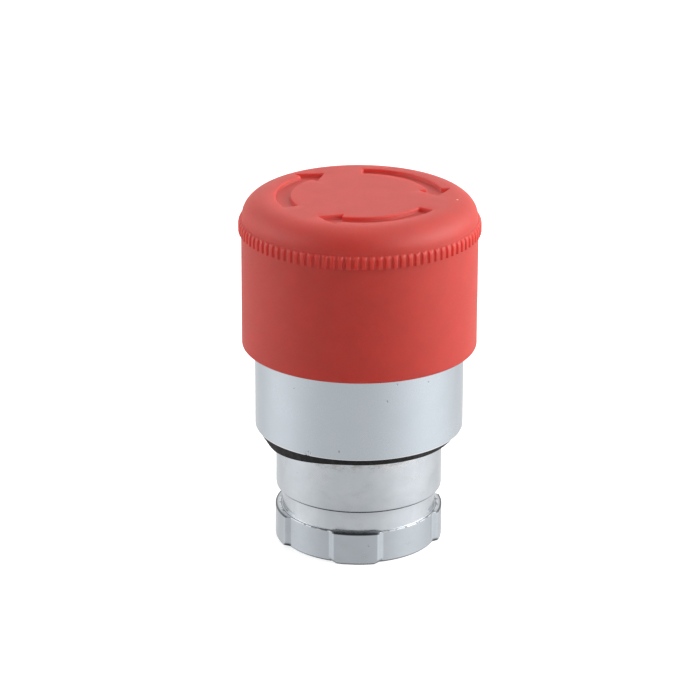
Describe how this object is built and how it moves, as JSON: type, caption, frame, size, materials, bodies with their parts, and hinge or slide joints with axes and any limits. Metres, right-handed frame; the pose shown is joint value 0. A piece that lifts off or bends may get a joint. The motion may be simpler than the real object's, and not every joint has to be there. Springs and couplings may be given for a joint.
{
  "type": "emergency stop button head",
  "caption": "Panel-mount emergency stop operating head: red turn-to-release mushroom cap, tall metal bezel, round barrel and bayonet ring.",
  "frame": {"origin": "on the axis, in the plane of the panel's front face, which is the underside of the gasket", "axes": "+Z along the axis towards the cap; -X towards the wide key lug of the bayonet ring"},
  "size_m": [0.0316, 0.0316, 0.0475],
  "materials": {
    "red_plastic": "matte moulded, finely textured",
    "satin_chrome": "satin bright plating over polished metal",
    "cast_chrome": "plated die casting, slightly cloudy",
    "black_rubber": "matte",
    "white_acetal": "smooth moulded",
    "black_nylon": "smooth moulded",
    "spring_steel": "drawn and oiled",
    "bright_steel": "ground",
    "zinc_steel": "zinc plated",
    "brass": "turned"
  },
  "bodies": {
    "housing": {"barrel_casting": "cast_chrome", "bezel_shell": "satin_chrome", "bezel_snap_ring": "spring_steel", "bezel_o_ring": "black_rubber", "panel_gasket": "black_rubber", "guide_sleeve": "white_acetal", "sleeve_circlip": "spring_steel", "locating_pins": "bright_steel", "latch_clip": "spring_steel", "return_spring": "spring_steel", "lip_seal": "black_rubber", "seal_retainer": "zinc_steel"},
    "plunger": {"plunger": "white_acetal", "actuator_foot": "black_nylon", "torsion_spring": "spring_steel", "thrust_washer": "zinc_steel", "spring_washer": "zinc_steel", "foot_washer": "zinc_steel"},
    "cap": {"mushroom_cap": "red_plastic", "cap_insert": "brass", "spindle": "zinc_steel", "cap_screw": "bright_steel", "lock_washer": "spring_steel", "stop_washer": "white_acetal", "spindle_circlip": "spring_steel"}
  },
  "joints": [
    {"name": "push", "type": "slide", "parent": "housing", "child": "plunger", "axis": [0, 0, -1], "range_m": [0, 0.0045], "stiffness_N_per_m": 1200, "springref_m": -0.006, "deforming": ["return_spring", "latch_clip"]},
    {"name": "twist", "type": "hinge", "parent": "plunger", "child": "cap", "pos_m": [0, 0, 0], "axis": [0, 0, -1], "range_deg": [0, 45], "stiffness_Nm_per_rad": 0.06, "springref_deg": -28.65, "deforming": ["torsion_spring"]}
  ]
}
